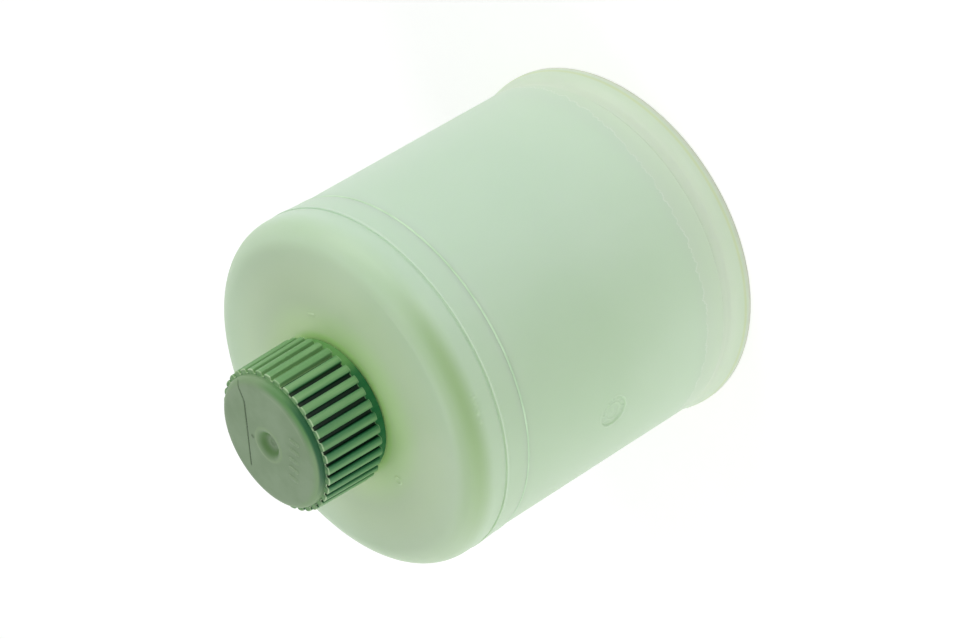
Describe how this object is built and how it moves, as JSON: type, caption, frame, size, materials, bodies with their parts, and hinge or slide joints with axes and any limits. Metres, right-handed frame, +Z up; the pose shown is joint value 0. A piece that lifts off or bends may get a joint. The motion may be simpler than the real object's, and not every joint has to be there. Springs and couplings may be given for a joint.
{
  "type": "power steering reservoir",
  "caption": "Bell-shaped translucent plastic oil reservoir for an electric steering pump, with a welded dome, a green ribbed screw cap and an open flared mouth.",
  "frame": {"origin": "centre of the open mouth's rim, on which the tank stands", "axes": "+Z up along the tank's axis, from the mouth to the filler cap; the picture's camera stands on the -Y side"},
  "size_m": [0.1172, 0.1172, 0.1397],
  "materials": {
    "tank_plastic": "satin, slightly translucent pale green",
    "cap_plastic": "satin green",
    "plug_plastic": "satin",
    "cage_plastic": "satin",
    "mesh_fabric": "fine woven mesh",
    "rubber": "matte black"
  },
  "bodies": {
    "tank": {"barrel": "tank_plastic", "dome": "tank_plastic", "strainer_cage": "cage_plastic", "strainer_mesh": "mesh_fabric", "baffle": "tank_plastic", "pump_seal": "rubber"},
    "cap_lift": {"cap_seal": "rubber", "seal_plug": "plug_plastic", "breather_valve": "rubber"},
    "cap": {"filler_cap": "cap_plastic"}
  },
  "joints": [
    {"name": "cap_rise", "type": "slide", "parent": "tank", "child": "cap_lift", "axis": [0, 0, 1], "range_m": [0, 0.009]},
    {"name": "cap_turn", "type": "hinge", "parent": "cap_lift", "child": "cap", "pos_m": [0, 0, 0.12], "axis": [0, 0, 1], "range_deg": [0, 720]}
  ],
  "couplings": [
    {"joint": "cap_rise", "follows": "cap_turn", "m_per_rad": 0.0007162}
  ]
}
